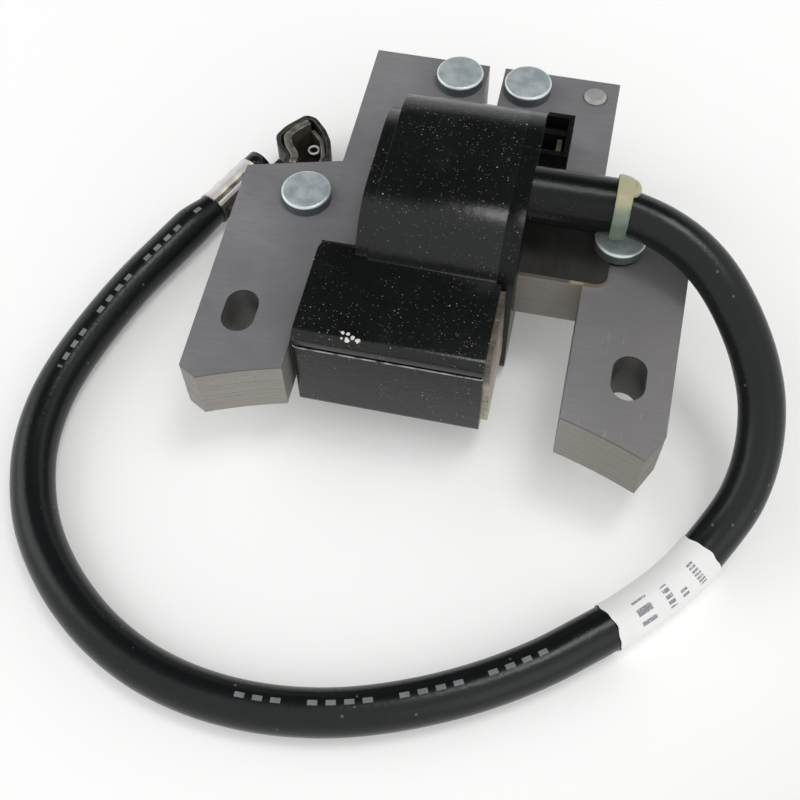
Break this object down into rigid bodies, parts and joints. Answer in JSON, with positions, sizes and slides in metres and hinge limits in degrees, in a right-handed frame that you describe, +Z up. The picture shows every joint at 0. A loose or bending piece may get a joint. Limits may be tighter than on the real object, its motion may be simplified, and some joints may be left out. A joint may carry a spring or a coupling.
{
  "type": "ignition coil",
  "caption": "Small-engine ignition coil: riveted two-leg laminated armature, potted coil and trigger module, high-tension lead ending in a spark plug clip.",
  "frame": {"origin": "midway between the two mounting slots, on the underside of the armature", "axes": "+X across the legs towards the lead's tower, +Y from the pole faces to the rear ears, +Z up through the lamination stack"},
  "size_m": [0.119, 0.1181, 0.0338],
  "materials": {
    "lamination_steel": "cold-rolled electrical sheet, dull grey with a slight violet cast, fine edge lines",
    "zinc_rivet": "bluish zinc plating, satin with bright rims",
    "pin_steel": "plain satin steel",
    "housing_black": "black glass-filled moulding, semi-gloss with dust specks",
    "bobbin_plastic": "natural nylon",
    "copper_wire": "enamelled copper",
    "board_green": "green circuit board",
    "component_black": "black moulded component",
    "resistor_tan": "tan resistor body",
    "potting_cream": "cured cream potting resin",
    "contact_brass": "brass contact",
    "tab_steel": "thin plated steel strip with a brassy edge",
    "seal_glue": "pale green-white translucent sealing glue",
    "lead_black": "black ignition lead insulation, soft gloss with faint printed dashes",
    "label_white": "blank white paper label",
    "clip_steel": "plated spring steel clip with a silvery crimp"
  },
  "bodies": {
    "root": {"left_lamination_stack": "lamination_steel", "right_lamination_stack": "lamination_steel", "rivet_rear_left": "zinc_rivet", "rivet_rear_right": "zinc_rivet", "rivet_front_left": "zinc_rivet", "rivet_front_right": "zinc_rivet", "locating_pin": "pin_steel", "coil_housing": "housing_black", "housing_end_cap": "housing_black", "primary_bobbin": "bobbin_plastic", "primary_winding": "copper_wire", "secondary_bobbin": "bobbin_plastic", "secondary_winding": "copper_wire", "primary_wires": "copper_wire", "circuit_board": "board_green", "switching_transistor": "component_black", "trigger_resistor": "resistor_tan", "board_diode": "component_black", "potting_compound": "potting_cream", "ht_contact_pin": "contact_brass", "ht_link_wire": "copper_wire", "stop_terminal": "contact_brass", "ground_tab": "tab_steel", "tower_seal": "seal_glue", "lead_jacket": "lead_black", "lead_conductor": "copper_wire", "lead_label": "label_white", "plug_terminal": "clip_steel"}
  },
  "joints": []
}
